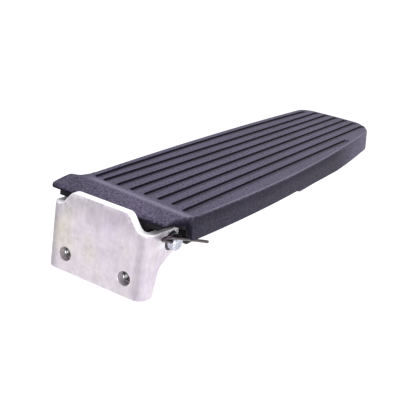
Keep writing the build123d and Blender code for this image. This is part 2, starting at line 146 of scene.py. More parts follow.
def rounded_loop(stretches):
    """A closed outline from (points, radius) stretches.

    The radius rounds the corner between a stretch's end and the next stretch.
    """
    paths = [np.array(points, float) for points, _ in stretches]
    radii = [radius for _, radius in stretches]
    cuts = []
    for i, radius in enumerate(radii):
        here, after = paths[i], paths[(i + 1) % len(paths)]
        into = complex(*(here[-1] - here[-2]))
        out = complex(*(after[1] - after[0]))
        turn = np.angle(out / into)
        cuts.append((radius * abs(math.tan(turn / 2)), turn))
    trimmed = []
    for i, path in enumerate(paths):
        total = lengths(path)[-1]
        low, high = cuts[i - 1][0], total - cuts[i][0]
        inner = [d for d in lengths(path) if low + CORNER_CLEARANCE < d < high - CORNER_CLEARANCE]
        trimmed.append(along(path, np.array([low, *inner, high])))
    outline = []
    for i, path in enumerate(trimmed):
        outline.extend(path)
        after = trimmed[(i + 1) % len(trimmed)]
        reach = 4 / 3 * math.tan(abs(cuts[i][1]) / 4) * radii[i]
        into = (path[-1] - path[-2]) / np.linalg.norm(path[-1] - path[-2])
        out = (after[1] - after[0]) / np.linalg.norm(after[1] - after[0])
        handles = (path[-1], path[-1] + reach * into, after[0] - reach * out, after[0])
        if radii[i] > 0:
            outline.extend(bezier(handles, CORNER_STEPS)[1:-1])
    return drop_repeats(np.array(outline))


def bezier(handles, count):
    """Points along a cubic curve, ends included."""
    t = np.linspace(0, 1, count + 1)[:, None]
    a, b, c, d = handles
    return a * (1 - t) ** 3 + 3 * b * t * (1 - t) ** 2 + 3 * c * t * t * (1 - t) + d * t ** 3


def drop_repeats(loop):
    """A closed outline without the points that lie on the one before them."""
    keep = np.linalg.norm(loop - np.roll(loop, 1, axis=0), axis=1) > SAME_POINT
    return loop[keep]


def respaced(loop, spacing):
    """The same closed outline with points spacing(x, y) apart."""
    closed = np.vstack([loop, loop[:1]])
    fine = along(closed, np.linspace(0, lengths(closed)[-1], FINE_STEPS))
    weight = 1 / spacing((fine[1:, 0] + fine[:-1, 0]) / 2, (fine[1:, 1] + fine[:-1, 1]) / 2)
    steps = np.linalg.norm(np.diff(fine, axis=0), axis=1) * weight
    count = int(math.ceil(steps.sum()))
    marks = np.concatenate([[0.0], np.cumsum(steps)]) * count / steps.sum()
    picked = np.arange(count)
    return np.column_stack([np.interp(picked, marks, fine[:, i]) for i in range(2)])


def normals(loop):
    """Unit normals on the right-hand side of a closed outline."""
    tangent = np.roll(loop, -1, axis=0) - np.roll(loop, 1, axis=0)
    tangent /= np.linalg.norm(tangent, axis=1)[:, None]
    return np.column_stack([tangent[:, 1], -tangent[:, 0]])


def inside(points, loop):
    """Which points lie inside a closed outline."""
    x, y = points[:, 0][:, None], points[:, 1][:, None]
    x0, y0 = loop[:, 0], loop[:, 1]
    x1, y1 = np.roll(x0, -1), np.roll(y0, -1)
    crosses = (y0 > y) != (y1 > y)
    with np.errstate(divide="ignore", invalid="ignore"):
        at = x0 + (y - y0) * (x1 - x0) / (y1 - y0)
    return (crosses & (x < at)).sum(axis=1) % 2 == 1


def distance_to(points, loop):
    """Distance from each point to the nearest point of an outline."""
    return np.linalg.norm(points[:, None] - loop[None], axis=2).min(axis=1)


def at_depth(xy, depth):
    """Plane points with the same third coordinate for all."""
    return np.column_stack([xy, np.full(len(xy), depth)])


def circle(x, y, radius, count, clockwise=False):
    angles = np.linspace(0, 2 * math.pi, count, endpoint=False) * (-1 if clockwise else 1)
    return np.column_stack([x + radius * np.cos(angles), y + radius * np.sin(angles)])


# ---------------------------------------------------------------- meshes
JOIN_DISTANCE = 0.004
SHORTEST_EDGE = 0.002


class Shape:
    """Vertices in millimetres and faces, gathered from grids and filled outlines."""

    def __init__(self):
        self.points = []
        self.faces = []
        self.painted_shading = []

    def add(self, points, faces, painted_shading=None):
        """Adds points and faces; the last argument gives each point's painted light and shade, -1 for full painted
        shade, as deep in a crease, and 1 for a full painted highlight, as on the crest.
        """
        base = len(self.points)
        self.points.extend(tuple(point) for point in points)
        self.faces.extend(tuple(base + i for i in face) for face in faces)
        self.painted_shading.extend(painted_shading if painted_shading is not None else [0.0] * len(points))

    def grid(self, rows, wrap=False, painted_shading=None):
        """Faces between rows of points; rows is (row, column, 3), closed across if wrap is set."""
        rows = np.array(rows)
        count, width = rows.shape[:2]
        faces = []
        for r in range(count - 1):
            for c in range(width if wrap else width - 1):
                d = (c + 1) % width
                faces.append((r * width + c, r * width + d, (r + 1) * width + d, (r + 1) * width + c))
        self.add(rows.reshape(-1, 3), faces, painted_shading)

    def fill(self, outer, holes, extra, lift, painted_shading=None):
        """Triangles between an outline and the holes in it, through the extra points.

        The lift function turns (x, y) rows into points, and the last argument, a function of (x, y), gives their
        painted light and shade.
        """
        loops = [outer, *holes]
        flat = np.vstack([*loops, np.array(extra).reshape(-1, 2)])
        edges, base = [], 0
        for loop in loops:
            edges += [(base + i, base + (i + 1) % len(loop)) for i in range(len(loop))]
            base += len(loop)
        found = delaunay_2d_cdt([Vector(point) for point in flat], edges, [], 1, 1e-5)
        xy = np.array([tuple(point) for point in found[0]])
        triangles = np.array(found[2])
        centres = xy[triangles].mean(axis=1)
        keep = inside(centres, outer)
        for hole in holes:
            keep &= ~inside(centres, hole)
        self.add(lift(xy), triangles[keep], painted_shading(*xy.T) if painted_shading else None)

    def build(self, name, smooth=40.0):
        """The finished object, in metres, with shared corners joined and normals outwards.

        Edges that turn by more than smooth degrees stay sharp.
        """
        mesh = bpy.data.meshes.new(name)
        mesh.from_pydata([Vector(point) * MM for point in self.points], [], self.faces)
        work = bmesh.new()
        work.from_mesh(mesh)
        # each vertex keeps its painted light and shade, which the materials turn into painted shade and painted
        # highlights
        painted_shading = work.verts.layers.float.new("painted_shading")
        for vertex, value in zip(work.verts, self.painted_shading):
            vertex[painted_shading] = value
        bmesh.ops.remove_doubles(work, verts=work.verts, dist=JOIN_DISTANCE * MM)
        bmesh.ops.dissolve_degenerate(work, edges=work.edges, dist=SHORTEST_EDGE * MM)
        loose = [v for v in work.verts if not v.link_faces]
        bmesh.ops.delete(work, geom=loose, context="VERTS")
        bmesh.ops.recalc_face_normals(work, faces=work.faces)
        work.to_mesh(mesh)
        work.free()
        mesh.shade_smooth()
        mesh.set_sharp_from_angle(angle=math.radians(smooth))
        piece = bpy.data.objects.new(name, mesh)
        bpy.context.scene.collection.objects.link(piece)
        weighted = piece.modifiers.new("flat_faces_first", "WEIGHTED_NORMAL")
        weighted.keep_sharp = True
        return piece


def sweep_wire(shape, path, radius, corners):
    """Sweeps a circle along a path of points without twist, with closed ends."""
    section = [(radius * math.cos(a), radius * math.sin(a))
               for a in np.linspace(0, 2 * math.pi, corners, endpoint=False)]
    path = np.array(path, float)
    tangent = np.gradient(path, axis=0)
    tangent /= np.linalg.norm(tangent, axis=1)[:, None]
    askew = (0.3, 0.5, 0.8)
    side = np.cross(tangent[0], askew)
    rows = []
    for point, forward in zip(path, tangent):
        side = side - forward * side.dot(forward)
        side /= np.linalg.norm(side)
        up = np.cross(forward, side)
        rows.append([point + a * side + b * up for a, b in section])
    shape.grid(rows, wrap=True)
    for end in (rows[0], rows[-1]):
        shape.add(end, [tuple(range(corners))])


# ---------------------------------------------------------------- tread cover
CREST_Y = 18.5
CREST_SLANT = 0.075
CREST_RISE = 0.28
CREST_WIDTH = 2.2
CREST_LEFT = -29.0
HOOD_BEND = 1.8
RIM_R = 1.3
LIP_R = 0.8
LIP_WALL = 1.3
BOTTOM_R = 0.5
SKIRT_LOW_NEAR = 20.9
# the lower edge as (y, z): a step at mid length, then a shallow belly
SKIRT_LOW_LINE = ((132.0, SKIRT_LOW_NEAR), (137.0, 19.6), (160.0, 19.6), (205.0, 18.5), (268.0, 19.6))
RIGHT_SKIRT_START = 17.8
RIGHT_SKIRT_RUN = 3.6
LEFT_SKIRT_START = 29.0
LEFT_SKIRT_RUN = 0.9
FAR_DRAFT = math.radians(7.5)
FAR_DRAFT_START = 140.0
FAR_DRAFT_RUN = 110.0
HOOK_DEPTH = 1.6
HOOK_PLACES = (75, 175, 225)
HOOK_LENGTH = 26.0
HOOK_END_RUN = 1.2
HOOK_HEIGHT = 1.2
HOOK_SLOPE = 0.2

GROOVE_HALF = 2.1
# one side of a groove's section: distance from its middle line, share of its depth, and share of painted shade
GROOVE_SECTION = (
    (0.0, 1.0, 0.35), (1.1, 1.0, 0.6), (1.45, 0.98, 1.0), (1.64, 0.88, 1.0), (1.76, 0.22, 1.0),
    (1.84, 0.08, 0.7), (1.96, 0.01, 0.1), (GROOVE_HALF, 0.0, 0.0),
)
GROOVE_TIP_SHARE = 0.1
GROOVE_NEAR_RAMP = 3.0
GROOVE_FAR_RAMP = 1.6
GROOVE_STEP = 8
# distances from a groove's end at which its section is drawn
GROOVE_STATIONS = (0.0, 0.15, 0.4, 0.8, 1.3, 1.9, 2.6, 3.4, 4.4, 6.0)

# what the rings of the cover's edge take, from the top down, of its four kinds of painted light and shade:
# the painted highlight on the rim, the painted highlight on the crest, the painted shade on the right side and the
# painted shade on the lip of the hood
EDGE_SHARES = (
    (0.1, 1.0, 0.0, 0.0),
    (1.0, 0.9, 0.0, 0.0),
    (0.7, 0.7, 0.1, 0.0),
    (0.1, 0.3, 0.6, 0.0),
    (0.0, 0.0, 0.9, 0.15),
    (0.0, 0.0, 1.1, 0.4),
    (0.0, 0.0, 1.15, 0.6),
    (0.0, 0.0, 1.08, 0.8),
    (0.0, 0.0, 1.0, 0.9),
    (0.0, 0.0, 1.0, 1.0),
    (0.0, 0.0, 1.0, 1.0),
)
# the strengths of those kinds, where the right side turns to painted light near its far end, and of the painted
# shade on the hidden faces below
RIM_HIGHLIGHT = 0.42
LEFT_RIM_SHADE = -0.15
SIDE_SHADE = -0.67
FAR_SIDE_LIGHT = 0.14
LIP_SHADE = -0.92
INNER_SHADE = -0.85
UNDERSIDE_SHADE = -0.9


def smooth_step(t):
    """Rises from 0 to 1 as t does, level at both ends."""
    t = np.clip(t, 0, 1)
    return t * t * (3 - 2 * t)


def past_crest(x, y):
    """Distance along Y from the crest's line to a point, below zero on the hood."""
    return y - CREST_Y + CREST_SLANT * x


def tread_height(x, y):
    """Height of the cover's top: level, then a soft crest and the hood sloping to the front."""
    crest = CREST_Y - CREST_SLANT * x
    share = np.clip((crest - y) / (crest - HOOD_FRONT), 0, 1)
    ridge = CREST_RISE * np.exp(-((past_crest(x, y) / CREST_WIDTH) ** 2))
    return TREAD_TOP - HOOD_DROP * share ** HOOD_BEND + ridge * smooth_step((x - CREST_LEFT) / 12)


def crest_highlight_and_hood_shade(x, y):
    """Painted highlight along the crest, and painted shade, below zero, on the hood's left."""
    away = past_crest(x, y)
    spread = np.where(away > 0, 2.2, 1.7)
    painted_highlight = 0.64 * np.exp(-((away / spread) ** 2)) * smooth_step((x - CREST_LEFT - 2) / 10)
    painted_shade = 0.20 * smooth_step((-4 - x) / 22) * smooth_step((20 - y) / 5)
    return painted_highlight - painted_shade


def cover_outline():
    """The cover in plan at the height of its top, counter-clockwise from the hood's left front."""
    stretches = [
        ([(HOOD_LEFT, HOOD_FRONT), (HOOD_RIGHT, HOOD_FRONT)], 2.0),
        ([(HOOD_RIGHT, HOOD_FRONT), (33.9, 10.5)], 5.0),
        ([(33.9, 10.5), (38.6, 16.8)], 4.0),
        ([(38.6, 16.8), (39.9, 24.0)], 6.0),
        (arc_through((39.9, 24.0), (42.3, 92.0), (41.2, 160.0)), 0.0),
        (arc_through((41.2, 160.0), (37.9, 218.0), (33.2, 273.5)), 0.0),
        (arc_through((33.2, 273.5), (28.3, 288.7), (17.5, 300.2)), 6.0),
        (arc_through((17.5, 300.2), (-3.0, FAR_END), (-29.4, 298.8)), 12.0),
        (arc_through((-29.4, 298.8), (-30.9, 170.0), (-27.2, 25.5)), 4.0),
        ([(-27.2, 25.5), (-28.6, 19.8)], 2.0),
        ([(-28.6, 19.8), (-33.0, 18.3)], 2.5),
        ([(-33.0, 18.3), (HOOD_LEFT, HOOD_FRONT)], 2.0),
    ]

    def spacing(x, y):
        """Closest where the skirt starts on either side, and widest along the tread."""
        near_start = ((x > 30) & (y > 13) & (y < 22)) | ((x < -20) & (y > 27) & (y < 31))
        return np.where(near_start, 0.3, np.where(y < 40, 0.7, 1.3))

    return respaced(rounded_loop(stretches), spacing)


def groove_lines():
    """Each groove as (middle line, start, end); the middle line gives x at a distance y.

    The first one follows the tread's left edge. The others are straight, and the last is short.
    """
    left = arc_through((-21.8, GROOVE_START + 2), (-24.9, 170.0), (-23.5, 290.0))
    lines = [(lambda y: np.interp(y, left[:, 1], left[:, 0]), GROOVE_START + 1, 291.0)]
    for number in range(GROOVE_COUNT - 1):
        x = GROOVE_FIRST_X + number * GROOVE_PITCH
        start = GROOVE_START
        end = FAR_END - GROOVE_END_GAP - 4.0 * (abs(x + 3.0) / 24.0) ** 3
        if number == GROOVE_COUNT - 2:
            start = GROOVE_START - 3.0
            end = SHORT_GROOVE_END
        lines.append((lambda y, x=x: x + 0 * y, start, end))
    return lines


def add_groove(shape, line, start, end):
    """Adds a groove to the tread and returns the outline where the two meet."""
    near = start + np.array(GROOVE_STATIONS)
    far = end - np.array(GROOVE_STATIONS)[::-1]
    count = int((far[0] - near[-1]) / GROOVE_STEP)
    stations = np.concatenate([near, np.linspace(near[-1], far[0], count + 1)[1:-1], far])
    section = [(-d, *rest) for d, *rest in reversed(GROOVE_SECTION[1:])] + list(GROOVE_SECTION)
    rows, painted_shading = [], []
    for y in stations:
        gap = max(0.0, min(y - start, end - y))
        width = max(math.sqrt(1 - (1 - min(gap / GROOVE_HALF, 1)) ** 2), GROOVE_TIP_SHARE)
        ramp = GROOVE_NEAR_RAMP if y - start < end - y else GROOVE_FAR_RAMP
        deep = GROOVE_DEPTH * float(smooth_step(gap / ramp))
        x = np.array([line(y) + d * width for d, _, _ in section])
        drop = np.array([deep * share for _, share, _ in section])
        rows.append(np.column_stack([x, np.full(len(x), y), tread_height(x, y) - drop]))
        # painted shade in the groove, strongest at its walls, less on its floor, and fading where the groove runs
        # out
        painted_shading.extend(-painted_darkening * deep / GROOVE_DEPTH for _, _, painted_darkening in section)
    shape.grid(rows, painted_shading=painted_shading)
    rows = np.array(rows)
    return np.vstack([rows[0, :-1, :2], rows[:-1, -1, :2], rows[-1, :0:-1, :2], rows[:0:-1, 0, :2]])


def skirt_bottom(x, y):
    """Height of the cover's lower edge round its outline."""
    low = np.interp(y, *zip(*SKIRT_LOW_LINE))
    right = np.clip((y - RIGHT_SKIRT_START) / RIGHT_SKIRT_RUN + 0.5, 0, 1)
    left = np.clip((y - LEFT_SKIRT_START) / LEFT_SKIRT_RUN, 0, 1)
    share = np.where(x > 0, right, left)
    return HOOD_UNDER + (low - HOOD_UNDER) * share


def cover_rings(loop):
    """The cover's edge as rings of points: rim, skirt, lower edge, hooks and inner wall."""
    out = normals(loop)
    x, y = loop.T
    top = tread_height(x, y)
    low = skirt_bottom(x, y)
    hangs = (HOOD_UNDER - low) / (HOOD_UNDER - SKIRT_LOW_NEAR)
    rim = LIP_R + (RIM_R - LIP_R) * smooth_step(hangs)
    wall = LIP_WALL + (SKIRT - LIP_WALL) * smooth_step(hangs)
    hook = np.zeros(len(loop))
    for place in HOOK_PLACES:
        within = (HOOK_LENGTH / 2 - abs(y - place)) / HOOK_END_RUN
        hook = np.maximum(hook, HOOK_DEPTH * np.clip(within, 0, 1))
    under = np.where(hangs > 0.02, DECK_TOP, HOOD_UNDER)

    rings = []

    def ring(offset, height):
        rings.append(np.column_stack([loop + out * np.array(offset)[:, None], height]))

    inner_top = tread_height(*(loop - out * rim[:, None]).T)
    for angle in np.radians((0, 15, 30, 45, 60, 75, 90)):
        level = inner_top + (top - inner_top) * math.sin(angle)
        ring(-rim * (1 - math.sin(angle)), level - rim * (1 - math.cos(angle)))
    flare_start = top - rim
    far = smooth_step((y - FAR_DRAFT_START) / FAR_DRAFT_RUN) * np.clip(out[:, 0], 0, 1)
    slope = np.tan(SKIRT_DRAFT + (FAR_DRAFT - SKIRT_DRAFT) * far)
    for share in (0.25, 0.5, 0.75, 1.0):
        height = flare_start + (low + BOTTOM_R - flare_start) * share
        ring(slope * (flare_start - height), height)
    flare = slope * (flare_start - low - BOTTOM_R)
    for angle in np.radians((30, 60, 90)):
        ring(flare - BOTTOM_R * (1 - math.cos(angle)), low + BOTTOM_R * (1 - math.sin(angle)))
    ring(-wall - hook, low)
    ring(-wall - hook, np.minimum(low + HOOK_HEIGHT, under))
    ring(-wall, np.minimum(low + HOOK_HEIGHT + HOOK_SLOPE, under))
    ring(-wall, under)
    return rings


def edge_painted_shading(loop, count):
    """Painted light and shade of the cover's edge rings, as EDGE_SHARES says, and painted shade on the rings below
    them.
    """
    x, y = loop.T
    hood = y < HOOD_BACK
    right = (normals(loop)[:, 0] > 0.5) & ~hood
    # painted highlight along the right rim, painted shade along the left one
    rim = RIM_HIGHLIGHT * right * smooth_step((y - 18) / 20) + LEFT_RIM_SHADE * ~(right | hood)
    crest = crest_highlight_and_hood_shade(x, y)
    # painted shade down the right side, turning to painted light near its far end
    side = FAR_SIDE_LIGHT * smooth_step((y - 250) / 25) + SIDE_SHADE * smooth_step((255 - y) / 60)
    side = right * side
    lip = LIP_SHADE * hood
    rows = [rim * a + crest * b + side * c + lip * d for a, b, c, d in EDGE_SHARES]
    rows += [np.minimum(side + lip, INNER_SHADE)] * (count - len(rows))
    return np.concatenate(rows)


def tread_cover():
    """The rubber cover: hood, crest, grooved top, skirt with hooks, and the underside of its deck."""
    shape = Shape()
    loop = cover_outline()
    rings = cover_rings(loop)
    shape.grid(rings, wrap=True, painted_shading=edge_painted_shading(loop, len(rings)))
    holes = [add_groove(shape, *line) for line in groove_lines()]

    # rows of points that carry the bend of the hood and its crest
    top_edge = rings[0][:, :2]
    rows = np.array([(x, y) for y in np.arange(5.0, 24.0, 0.75) for x in np.arange(-33, 40, 1.5)])
    rows = rows[inside(rows, top_edge) & (distance_to(rows, top_edge) > 0.5)]
    for hole in holes:
        rows = rows[distance_to(rows, hole) > 0.4]
    # the top gets the painted highlight along its crest and the painted shade on the hood's left
    shape.fill(top_edge, holes, rows, lambda xy: np.column_stack([xy, tread_height(*xy.T)]), crest_highlight_and_hood_shade)

    # underside, one step lower under the hood
    inner = rings[-1]
    step = [(x, y) for y in (16.0, 17.4) for x in np.arange(-26, 31, 2.0)]

    def underside(xy):
        """The ring's own heights along it, and the deck's or the hood's elsewhere."""
        near = np.linalg.norm(xy[:, None] - inner[None, :, :2], axis=2)
        on_ring = near.min(axis=1) < 0.01
        height = np.where(xy[:, 1] < DECK_STEP_Y, HOOD_UNDER, DECK_TOP)
        return np.column_stack([xy, np.where(on_ring, inner[near.argmin(axis=1), 2], height)])

    shape.fill(inner[:, :2], (), step, underside, lambda x, y: UNDERSIDE_SHADE + 0 * x)
    return shape.build("tread_cover_mesh", smooth=50)


# ---------------------------------------------------------------- hinge bracket
BRACKET_EDGE_R = 0.6
BRACKET_BURR_R = 0.25
HOLE_EDGE_R = 0.35
HOLE_BURR_R = 0.15
SEAT_EDGE_R = 0.2
BRACKET_POINT_GAP = 0.7
# painted shade on the tab and at the start of the bends, painted light at the tops of the ears
TAB_SHADE = -0.4
TAB_SHADE_Z = 17.0
BEND_SHADE = -0.62
EAR_BRIGHT_Y = 7.0
EAR_BRIGHT_Z = 11.0
BEND_MIDDLE = BEND_OUTER - SHEET / 2
FLAT_HALF = BRACKET_WIDTH / 2 - BEND_OUTER
BEND_LENGTH = BEND_MIDDLE * math.pi / 2


def unrolled(y):
    """Distance from the bracket's middle to an ear's point at y, along the unfolded strip."""
    return FLAT_HALF + BEND_LENGTH + y - BEND_OUTER


def folded(points):
    """Takes (along, up, depth) points of the unfolded strip to their places on the bracket."""
    s, z, depth = np.array(points).T
    size = abs(s)
    turn = np.clip((size - FLAT_HALF) / BEND_MIDDLE, 0, math.pi / 2)
    radius = BEND_OUTER - depth
    past = np.clip(size - FLAT_HALF - BEND_LENGTH, 0, None)
    x = np.where(size < FLAT_HALF, size, FLAT_HALF + radius * np.sin(turn))
    y = np.where(size < FLAT_HALF, depth, BEND_OUTER - radius * np.cos(turn) + past)
    return np.column_stack([np.sign(s) * x, y, z])


def add_plate(shape, loops, thickness, extra, place):
    """A plate with rounded edges. Loops are (outline, front radius, back radius), outer one first.

    The outer edge gets a painted highlight, and the front gets painted shade below the top of the tab and in the
    bends, and painted light at the tops of the ears.
    """
    fronts, backs = [], []
    for loop, front_r, back_r in loops:
        out = normals(loop)
        rings = []
        for angle in np.radians((0, 22.5, 45, 67.5, 90)):
            offset = -front_r * (1 - math.sin(angle))
            rings.append((offset, front_r * (1 - math.cos(angle))))
        for angle in np.radians((0, 30, 60, 90)):
            offset = -back_r * (1 - math.cos(angle))
            rings.append((offset, thickness - back_r * (1 - math.sin(angle))))
        flat = [at_depth(loop + out * offset, depth) for offset, depth in rings]
        # a painted highlight on the rounding of the outer edge, none on the edges of the holes
        edge_highlight = 0.0 if fronts else 1.0
        painted_shading = np.repeat([0.0] + [edge_highlight] * (len(flat) - 1), len(loop))
        shape.grid([place(ring) for ring in flat], wrap=True, painted_shading=painted_shading)
        fronts.append(flat[0][:, :2])
        backs.append(flat[-1][:, :2])
    for faces, depth, painted_shading in ((fronts, 0.0, plate_painted_shading), (backs, thickness, None)):
        shape.fill(faces[0], faces[1:], extra, lambda xy: place(at_depth(xy, depth)), painted_shading)


def plate_painted_shading(s, z):
    """Painted shade below the top of the tab and where the bends begin, painted light at the top of the ears."""
    tab = TAB_SHADE * smooth_step((z - TAB_SHADE_Z) / 12) * (abs(s) < FLAT_HALF)
    bend = BEND_SHADE * np.exp(-(((abs(s) - FLAT_HALF - 1.6) / 2.0) ** 2))
    ear = smooth_step((abs(s) - unrolled(EAR_BRIGHT_Y)) / 5) * smooth_step((z - EAR_BRIGHT_Z) / 8)
    return np.where(ear > 0, ear, tab + bend)


def bracket_outline():
    """The unfolded strip's outline, counter-clockwise seen from the front."""
    right = [
        ((unrolled(9.3), BRACKET_BOTTOM), 2.0),
        ((unrolled(12.2), 5.3), 4.0),
        ((unrolled(25.0), 12.2), 4.0),
        ((unrolled(25.2), 23.1), 1.5),
        ((22.1, EAR_TOP), 4.0),
        ((16.3, TAB_TOP), 4.0),
    ]
    left = [((-x, z), radius) for (x, z), radius in reversed(right)]
    corners = right + left
    stretches = [([corners[i - 1][0], corner], radius) for i, (corner, radius) in enumerate(corners)]
    return respaced(rounded_loop(stretches), lambda x, y: BRACKET_POINT_GAP + 0 * x)


def hinge_bracket():
    """The folded strip, with its two screw holes and the two seats of the bushes."""
    shape = Shape()
    loops = [(bracket_outline(), BRACKET_EDGE_R, BRACKET_BURR_R)]
    for side in (-1, 1):
        hole = circle(side * HOLE_SPACING / 2, 0.0, HOLE_R, 48, clockwise=True)
        loops.append((hole, HOLE_EDGE_R, HOLE_BURR_R))
        seat = circle(side * unrolled(PIN_Y), PIN_Z, BUSH_R, 56, clockwise=True)
        loops.append((seat, SEAT_EDGE_R, HOLE_BURR_R))
    # more points, which carry the bends and the shading of the tab
    bend = [
        (side * s, z)
        for side in (-1, 1)
        for s in np.linspace(FLAT_HALF - 3.0, FLAT_HALF + BEND_LENGTH + 0.6, 19)
        for z in np.arange(BRACKET_BOTTOM + 2, EAR_TOP - 1.4, 2.0)
    ]
    tab = [(s, z) for s in np.arange(-15.0, 15.5, 3.0) for z in (17.0, 20.0, 23.0, 26.0, 29.0)]
    add_plate(shape, loops, SHEET, bend + tab, folded)
    return shape.build("hinge_bracket_mesh", smooth=50)


# ---------------------------------------------------------------- weld nuts
NUT_CORNER_R = 0.9
THREAD_MOUTH = 0.35
# the outside of a nut, from the plate on: distance past its outline, and depth
NUT_PROFILE = (
    (-0.2, 0.0), (0.0, 0.2), (0.0, NUT_HEIGHT - 0.7), (-0.15, NUT_HEIGHT - 0.3), (-0.5, NUT_HEIGHT),
)


def weld_nut(side):
    """A square nut on the plate's back, with a real thread and countersunk mouths."""
    shape = Shape()
    centre = side * HOLE_SPACING / 2
    half = NUT_SIDE / 2
    corners = [(centre + x * half, z * half) for x, z in ((1, -1), (1, 1), (-1, 1), (-1, -1))]
    stretches = [([corners[i - 1], corner], NUT_CORNER_R) for i, corner in enumerate(corners)]
    outline = respaced(rounded_loop(stretches), lambda x, y: 0.5 + 0 * x)

    def place(points):
        x, z, depth = points.T
        return np.column_stack([x, SHEET + depth, z])

    turns = np.linspace(0, 2 * math.pi, 72, endpoint=False)
    rows, painted_shading = [], []
    for depth in np.arange(0, NUT_HEIGHT + 0.05, 0.1):
        phase = (depth / THREAD_PITCH - turns / (2 * math.pi)) % 1.0
        crest = np.clip(abs(2 * phase - 1) * 1.3 - 0.15, 0, 1)
        radius = THREAD_MINOR_R + (THREAD_MAJOR_R - THREAD_MINOR_R) * crest
        mouth = THREAD_MAJOR_R + THREAD_MOUTH - min(depth, NUT_HEIGHT - depth)
        radius = np.maximum(radius, mouth)
        flat = np.column_stack([centre + radius * np.cos(turns), radius * np.sin(turns)])
        rows.append(place(at_depth(flat, depth)))
        # painted shade in the roots of the thread
        painted_shading.extend(-crest)
    shape.grid(rows, wrap=True, painted_shading=painted_shading)

    out = normals(outline)
    sides = [at_depth(outline + out * offset, depth) for offset, depth in NUT_PROFILE]
    shape.grid([place(ring) for ring in sides], wrap=True)
    mouth = rows[0][:, [0, 2]]
    for ring, depth in ((sides[0], 0.0), (sides[-1], NUT_HEIGHT)):
        shape.fill(ring[:, :2], [mouth], (), lambda xy: place(at_depth(xy, depth)))
    return shape.build("weld_nut_left_mesh" if side < 0 else "weld_nut_right_mesh", smooth=35)


# ---------------------------------------------------------------- hairpin clip
CLIP_RISE = 2.63
CLIP_GAP = 0.05
CLIP_BEND = -11.4
CLIP_SHORT_LEG = 5.5
CLIP_LONG_LEG = 27.4


def hairpin_clip():
    """A bent wire: one leg through the hinge pin, the other across the pin's end face."""
    shape = Shape()
    forward = np.array([0, math.cos(CLIP_TILT), math.sin(CLIP_TILT)])
    up = np.array([0, -math.sin(CLIP_TILT), math.cos(CLIP_TILT)])
    across = np.array([PIN_END + CLIP_R + CLIP_GAP - CLIP_X, 0, 0]) + CLIP_RISE * up
    start = np.array([CLIP_X, PIN_Y, PIN_Z])
    middle = start + CLIP_BEND * forward + across / 2
    bend_r = np.linalg.norm(across) / 2
    inner = [start + d * forward for d in np.linspace(CLIP_SHORT_LEG, CLIP_BEND, 10)]
    bend = [middle - math.cos(a) * across / 2 - math.sin(a) * bend_r * forward
            for a in np.linspace(0, math.pi, 18)[1:-1]]
    outer = [start + across + d * forward for d in np.linspace(CLIP_BEND, CLIP_LONG_LEG, 22)]
    sweep_wire(shape, [*inner, *bend, *outer], CLIP_R, 14)
    return shape.build("hairpin_clip_mesh", smooth=50)


# ---------------------------------------------------------------- return spring
LEG_START = 0.6
COIL_POINTS = 48


def return_spring():
    """A torsion spring round the hinge pin: one leg under the pedal's deck, one on the plate."""
    shape = Shape()
    width = COIL_PITCH * COIL_TURNS
    turns = np.linspace(0, 2 * math.pi * COIL_TURNS, int(COIL_POINTS * COIL_TURNS))
    low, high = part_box("return_spring")
    middle = (low.x + high.x) / 2 / MM
    # the coil starts at its top on the left and winds down over the back
    x = middle - width / 2 + COIL_PITCH * turns / (2 * math.pi)
    coil = np.column_stack([x, PIN_Y - COIL_R * np.sin(turns), PIN_Z + COIL_R * np.cos(turns)])
    first, last = coil[0] - coil[1], coil[-1] - coil[-2]
    first, last = first / np.linalg.norm(first), last / np.linalg.norm(last)
    lead = [coil[0] + first * d for d in np.linspace(PEDAL_LEG, LEG_START, 12)]
    tail = [coil[-1] + last * d for d in np.linspace(LEG_START, PLATE_LEG, 12)]
    sweep_wire(shape, [*lead, *coil, *tail], WIRE_R, 16)
    return shape.build("return_spring_mesh", smooth=60)


